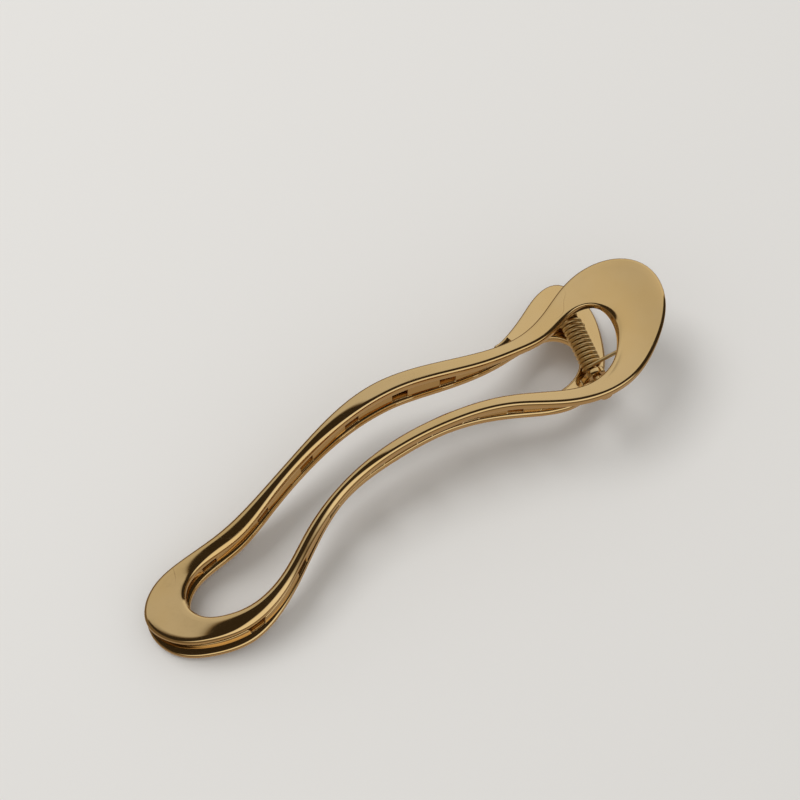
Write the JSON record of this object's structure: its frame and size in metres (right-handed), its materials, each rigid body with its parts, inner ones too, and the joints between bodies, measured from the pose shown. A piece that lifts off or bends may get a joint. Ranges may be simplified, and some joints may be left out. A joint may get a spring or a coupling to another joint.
{
  "type": "alligator hair clip",
  "caption": "Sprung hair clip with two wavy loop arms: a long toothed lower jaw and an upper jaw that ends in a thumb pad, joined by a riveted hinge pin and a torsion spring.",
  "frame": {"origin": "on the resting plane, under the middle of the clip's bounding box, with the clip closed", "axes": "+X from the hinge to the jaw tip, +Y along the hinge pin, +Z from the lower arm to the upper arm"},
  "size_m": [0.1205, 0.0456, 0.0216],
  "materials": {
    "polished_gold": "mirror polished champagne gold plating",
    "gold_wire": "plated spring wire",
    "gold_rivet": "plated rivet"
  },
  "bodies": {
    "lower": {"lower_arm": "polished_gold", "torsion_spring": "gold_wire"},
    "upper": {"upper_arm": "polished_gold", "hinge_pin": "gold_rivet"}
  },
  "joints": [
    {"name": "clip_hinge", "type": "hinge", "parent": "lower", "child": "upper", "pos_m": [-0.0422, -0.0066, 0.0113], "axis": [0, -1, 0], "range_deg": [0, 35], "stiffness_Nm_per_rad": 0.06, "springref_deg": -57.3, "deforming": ["torsion_spring"]}
  ]
}
